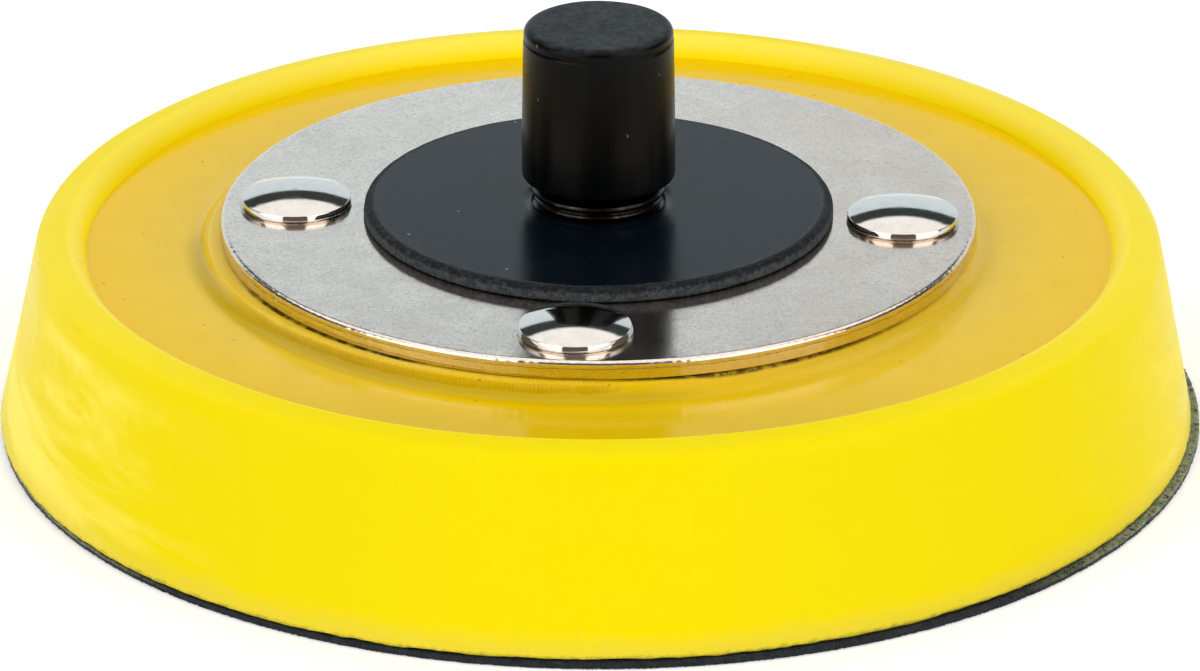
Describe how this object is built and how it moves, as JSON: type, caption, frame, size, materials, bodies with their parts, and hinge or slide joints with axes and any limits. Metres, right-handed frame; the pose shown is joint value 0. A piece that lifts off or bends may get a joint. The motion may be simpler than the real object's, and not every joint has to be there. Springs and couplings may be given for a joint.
{
  "type": "hook-and-loop sanding pad",
  "caption": "Round hook-and-loop backing pad for an orbital sander: a tapered yellow foam body under a riveted steel hub plate with a capped threaded stud and a rubber washer.",
  "frame": {"origin": "centre of the hook face, on which the pad lies", "axes": "+Z along the threaded stud, away from the hook face; +X to the right and +Y to the rear as the picture shows the pad; the rivets stand 4.3 degrees clockwise of the X and Y axes, seen from above"},
  "size_m": [0.075, 0.075, 0.0259],
  "materials": {
    "hook_fabric": "matte",
    "adhesive": "satin",
    "yellow_foam": "satin",
    "backing_plastic": "gloss",
    "plate_steel": "satin",
    "rivet_nickel": "polished",
    "stud_steel": "satin",
    "black_rubber": "satin",
    "cap_plastic": "satin"
  },
  "bodies": {
    "pad": {"hook_facing": "hook_fabric", "facing_adhesive": "adhesive", "foam_body": "yellow_foam", "backing_plate": "backing_plastic", "hub_plate": "plate_steel", "threaded_stud": "stud_steel", "rivet_right": "rivet_nickel", "rivet_rear": "rivet_nickel", "rivet_left": "rivet_nickel", "rivet_front": "rivet_nickel", "rivet_washer_right": "plate_steel", "rivet_washer_rear": "plate_steel", "rivet_washer_left": "plate_steel", "rivet_washer_front": "plate_steel"},
    "washer": {"friction_washer": "black_rubber"},
    "cap": {"thread_cap": "cap_plastic"}
  },
  "joints": [
    {"name": "cap_pull", "type": "slide", "parent": "pad", "child": "cap", "axis": [0, 0, 1], "range_m": [0, 0.02]},
    {"name": "washer_turn", "type": "hinge", "parent": "pad", "child": "washer", "pos_m": [0, 0, 0.014], "axis": [0, 0, 1], "continuous": true}
  ]
}
